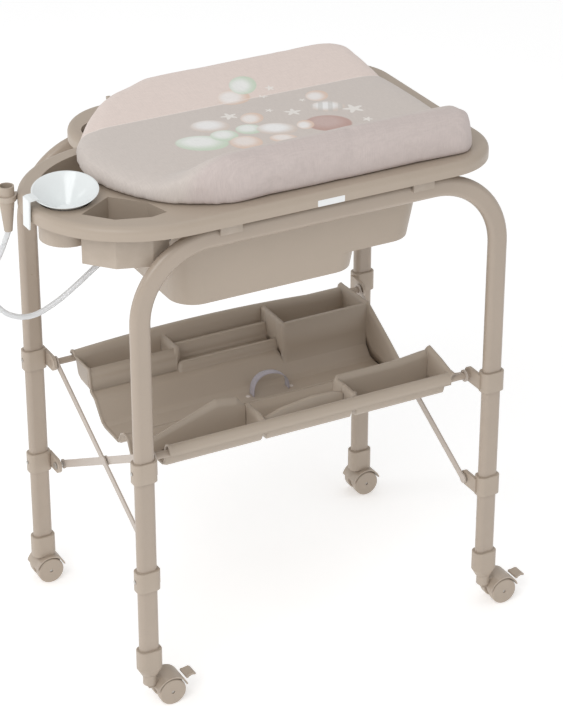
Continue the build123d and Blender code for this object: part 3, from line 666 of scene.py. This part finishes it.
def near_tray_height(x, y):
    """Near half: a peaked bin at the left, an arched rail in the middle and a square bin at the right."""
    z = tray_profile(OUTER_Y + y, OUTER_Y + SPLIT_Y - 0.6)
    bins = ramp(-188, -184, y)
    left_top = np.interp(x, [-276, -240, -150, -112, -88], [452, 464, 498, 492, 462])
    z = wall(z, left_top, ridge(-119, 1.2, 4.5, y) * (1 - ramp(-88, -82, x)))
    divider = np.interp(y, [-186, -160, -119], [470, 476, 474])
    z = wall(z, divider, ridge(-88, 1.2, 4, x) * bins * (1 - ramp(-119, -113, y)))
    arch = np.interp(x, [-88, -40, 20, 60, 110], [452, 468, 476, 474, 462])
    z = wall(z, arch, ridge(-152, 1.4, 4, y) * ridge(12, 96, 5, x))
    z = wall(z, 484 + 6 * ramp(200, 276, x), ridge(-119, 1.2, 4.5, y) * ramp(84, 90, x))
    z = wall(z, 480, ridge(88, 1.2, 4, x) * bins * (1 - ramp(-119, -113, y)))
    end = np.interp(y, [-190, -160, -119, -100, -84, -60], [478, 486, 494, 470, 440, 400])
    return wall(z, end, ramp(TRAY_HALF - 8, TRAY_HALF - 4, x))


def far_tray_height(x, y):
    """Far half: a square bin at each end and a lower, shallower one between them."""
    z = tray_profile(OUTER_Y - y, OUTER_Y - SPLIT_Y - 0.6)
    z = z + 9 * (1 - (np.clip(np.abs(x + 40) / 240, 0, 1)) ** 2) * ramp(OUTER_Y - 26, OUTER_Y - 17, y)
    bins = 1 - ramp(184, 188, y)
    z = wall(z, 472, ridge(131, 1.2, 4.5, y) * (1 - ramp(-103, -98, x)))
    z = wall(z, 474, ridge(-103, 1.2, 4, x) * bins * ramp(125, 131, y))
    z = wall(z, 446, ridge(122, 1.2, 4.5, y) * ridge(0, 100, 4, x))
    z = wall(z, 462, ridge(164, 1.2, 5, y) * ridge(0, 100, 4, x))
    z = wall(z, 486, ridge(100, 1.2, 4.5, y) * ramp(98, 103, x))
    z = wall(z, 484, ridge(103, 1.2, 4, x) * bins * ramp(94, 100, y))
    end = np.interp(y, [-14, 20, 60, 100, 190], [420, 440, 462, 484, 480])
    z = wall(z, end, ramp(TRAY_HALF - 8, TRAY_HALF - 4, x))
    return wall(z, 470, ramp(TRAY_HALF - 5, TRAY_HALF - 2, -x) * ramp(120, 130, y))


def tray_half(name, height, y_from, y_to, skin):
    """A moulded tray half: the height over an even grid, thickened downwards, with a rolled end lip."""
    x = np.linspace(-TRAY_HALF, TRAY_HALF, 261)[:, None]
    y = np.linspace(y_from, y_to, 92)[None, :]
    x, y = np.broadcast_arrays(x, y)
    z = height(x, y) + 2.5 * ramp(TRAY_HALF - 6, TRAY_HALF - 1, np.abs(x))
    piece = mesh_from_grid(name, placed(x, y, z))
    solid = piece.modifiers.new("skin", "SOLIDIFY")
    solid.thickness = skin
    solid.offset = -1
    apply_modifiers(piece)
    return merged(piece, 0.000005)


def ribbon(sizes):
    """The strap: a flat band carried over half an oval between its knobs, with two small feet."""
    low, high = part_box("tray_strap")
    centre, foot_z = (low + high) / 2, low.z
    reach, rise = (high.x - low.x) / 2 - 0.002, high.z - low.z - 0.002
    a = np.linspace(0, math.pi, 60)[:, None]
    corners = np.array([(-1, 0), (-0.96, 1), (0, 1.15), (0.96, 1), (1, 0), (0, -0.15)])
    width = sizes.strap_width / 2 * (1 - 0.10 * np.sin(a) ** 2)
    across = corners[None, :, 0] * width
    lift = 0.0012 * corners[None, :, 1] - 0.0006
    x = centre.x - (reach + lift) * np.cos(a)
    z = foot_z + 0.001 + (rise + lift) * np.sin(a) ** 0.85
    y = centre.y + across + 0.004 * np.sin(2 * a)
    grid = np.stack(np.broadcast_arrays(x, y, z), -1)
    piece = mesh_from_grid("tray_ribbon", grid, wrap_columns=True)
    work = bmesh.new()
    work.from_mesh(piece.data)
    bmesh.ops.holes_fill(work, edges=work.edges)
    bmesh.ops.recalc_face_normals(work, faces=work.faces)
    work.to_mesh(piece.data)
    work.free()
    return piece


# ------------------------------------------------------------------ the hose
# the drain hose's route, in millimetres from the frames' middle:
# out of the nozzle, down in a loop, up into the cone
HOSE_ROUTE = [
    (-286, -52, 792), (-325, -54, 776), (-366, -54, 746), (-408, -50, 716), (-452, -44, 695),
    (-492, -36, 706), (-515, -28, 738), (-513, -20, 778), (-484, -12, 810), (-470, -10, 845),
]


def hose_curve(diameter):
    """A smooth NURBS curve of order 3 with the route's points as its control points."""
    data = bpy.data.curves.new("drain_hose_curve", "CURVE")
    data.dimensions = "3D"
    data.bevel_depth = diameter / 2
    data.bevel_resolution = 5
    data.resolution_u = 14
    data.use_fill_caps = True
    spline = data.splines.new("NURBS")
    spline.points.add(len(HOSE_ROUTE) - 1)
    for point, place in zip(spline.points, HOSE_ROUTE):
        point.co = (*placed(*place), 1)
    spline.order_u = 3
    spline.use_endpoint_u = True
    piece = bpy.data.objects.new("drain_hose_tube", data)
    bpy.context.scene.collection.objects.link(piece)
    return piece


# ------------------------------------------------------------------ operators


# finishes whose name differs from their slot's
FINISH_NAMES = {
    "mat_fabric": "mat_cloth", "strap_webbing": "ribbon", "hose_clear": "milky_hose", "steel": "plated_steel",
}


def settings():
    """The scene's sizes and colours."""
    return bpy.context.scene.changing_table_sizes, bpy.context.scene.changing_table_colours


def dress(piece, body, slot, *replaced):
    """Gives a finished piece its finish, its body and the CAD nodes it stands for."""
    piece.data.materials.clear()
    piece.data.materials.append(bpy.data.materials[FINISH_NAMES.get(slot, slot)])
    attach(piece, body)
    if replaced:
        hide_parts(*replaced)
    return piece


class TABLE_OT_finishes(bpy.types.Operator):
    """Make every finish and put it on the frame's own parts"""

    bl_idname = "changing_table.finishes"
    bl_label = "Finishes"

    def execute(self, context):
        finishes = all_materials(settings()[1])
        for part in frame["record"]["subparts"]:
            node = frame["nodes"][part["node"]]
            for place in node.material_slots:
                place.material = finishes[part["material_slot"]]
        return {"FINISHED"}


class TABLE_OT_mat(bpy.types.Operator):
    """Make the padded mat, whose cover wraps its board"""

    bl_idname = "changing_table.mat"
    bl_label = "Padded mat"

    def execute(self, context):
        pad = dress(mat_pad(settings()[0]), "mat", "mat_fabric", "mat_pad", "mat_board")
        return {"FINISHED"}


class TABLE_OT_trays(bpy.types.Operator):
    """Make the two moulded tray halves"""

    bl_idname = "changing_table.trays"
    bl_label = "Tray halves"

    def execute(self, context):
        skin = settings()[0].tray_skin
        near = tray_half("near_tray_moulding", near_tray_height, -OUTER_Y, SPLIT_Y - 0.6, skin)
        far = tray_half("far_tray_moulding", far_tray_height, SPLIT_Y + 0.6, OUTER_Y, skin)
        dress(near, "near_tray", "taupe_plastic", "near_tray_half")
        dress(far, "far_tray", "taupe_plastic", "far_tray_half")
        return {"FINISHED"}


class TABLE_OT_ribbon(bpy.types.Operator):
    """Make the ribbon strap in the tray"""

    bl_idname = "changing_table.ribbon"
    bl_label = "Ribbon strap"

    def execute(self, context):
        dress(ribbon(settings()[0]), "far_tray", "strap_webbing", "tray_strap")
        return {"FINISHED"}


class TABLE_OT_hose(bpy.types.Operator):
    """Make the drain hose"""

    bl_idname = "changing_table.hose"
    bl_label = "Drain hose"

    def execute(self, context):
        diameter = settings()[0].hose
        hose = dress(hose_curve(diameter), "tub", "hose_clear", "drain_hose")
        exit_point = tuple(placed(*HOSE_ROUTE[0]))
        return {"FINISHED"}


CAMERA_AZIMUTH, CAMERA_ELEVATION, CAMERA_DISTANCE, CAMERA_LENS = -28.2, 27.7, 4.535, 129.4
CAMERA_TARGET = (16.2, -48.7, 507.5)


def add_light(name, place, aim, size, power, tint=(1, 1, 1)):
    """A soft square light at place, pointed at aim."""
    data = bpy.data.lights.new(name, "AREA")
    data.size = size
    data.energy = power
    data.color = tint
    lamp = bpy.data.objects.new(name, data)
    lamp.location = place
    lamp.rotation_euler = (Vector(place) - Vector(aim)).to_track_quat("Z", "Y").to_euler()
    bpy.context.scene.collection.objects.link(lamp)


class TABLE_OT_stage(bpy.types.Operator):
    """Set up the floor, the studio light and the camera"""

    bl_idname = "changing_table.stage"
    bl_label = "Stage"

    def execute(self, context):
        scene = context.scene
        bpy.ops.mesh.primitive_plane_add(size=60, location=(0, 0, 0))
        floor = context.object
        floor.name = "floor"
        made, n, shader = new_material("floor_paper", Roughness=0.85)
        tone = n.remap(n.noise(n.coordinates(), 0.6), 0.3, 0.7, 0.89, 0.91)
        n.join(tone, shader.inputs["Base Color"])
        shader.inputs["Emission Color"].default_value = (1, 1, 1, 1)
        shader.inputs["Emission Strength"].default_value = 0.36
        floor.data.materials.append(made)
        world = scene.world or bpy.data.worlds.new("studio")
        scene.world = world
        world.use_nodes = True
        world.node_tree.nodes["Background"].inputs[0].default_value = (1, 1, 1, 1)
        world.node_tree.nodes["Background"].inputs[1].default_value = 0.60
        add_light("key", (-2.6, -2.2, 3.4), (0, 0, 0.5), 2.4, 62)
        add_light("top", (0.6, 0.4, 4.2), (0, 0, 0.4), 3.0, 16)
        add_light("rim", (-3.0, 1.6, 1.6), (0, 0, 0.5), 1.6, 14)
        azimuth, elevation = math.radians(CAMERA_AZIMUTH), math.radians(CAMERA_ELEVATION)
        across = math.cos(elevation)
        back = Vector((math.sin(azimuth) * across, -math.cos(azimuth) * across, math.sin(elevation)))
        data = bpy.data.cameras.new("camera")
        data.lens = CAMERA_LENS
        data.clip_end = 100
        camera = bpy.data.objects.new("camera", data)
        camera.location = Vector(placed(*CAMERA_TARGET)) + back * CAMERA_DISTANCE
        camera.rotation_euler = back.to_track_quat("Z", "Y").to_euler()
        scene.collection.objects.link(camera)
        scene.camera = camera
        scene.view_settings.view_transform = "Standard"
        return {"FINISHED"}


OPERATORS = [TABLE_OT_finishes, TABLE_OT_mat, TABLE_OT_trays, TABLE_OT_ribbon, TABLE_OT_hose, TABLE_OT_stage]


class TABLE_PT_sidebar(bpy.types.Panel):
    """The changing table's settings and steps"""

    bl_idname = "TABLE_PT_sidebar"
    bl_label = "Changing table"
    bl_space_type = "VIEW_3D"
    bl_region_type = "UI"
    bl_category = "Changing table"

    def draw(self, context):
        for group in settings():
            for key in group.bl_rna.properties.keys():
                if key not in ("rna_type", "name"):
                    self.layout.prop(group, key)
        for step in OPERATORS:
            self.layout.operator(step.bl_idname)


CLASSES = [TableSizes, TableColours, *OPERATORS, TABLE_PT_sidebar]


def register():
    for item in CLASSES:
        bpy.utils.register_class(item)
    bpy.types.Scene.changing_table_sizes = PointerProperty(type=TableSizes)
    bpy.types.Scene.changing_table_colours = PointerProperty(type=TableColours)


def unregister():
    del bpy.types.Scene.changing_table_colours
    del bpy.types.Scene.changing_table_sizes
    for item in reversed(CLASSES):
        bpy.utils.unregister_class(item)


def main():
    """Registers the add-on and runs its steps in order."""
    register()
    bpy.ops.changing_table.finishes()
    bpy.ops.changing_table.mat()
    bpy.ops.changing_table.trays()
    bpy.ops.changing_table.ribbon()
    bpy.ops.changing_table.hose()
    bpy.ops.changing_table.stage()


if __name__ == "__main__":
    main()
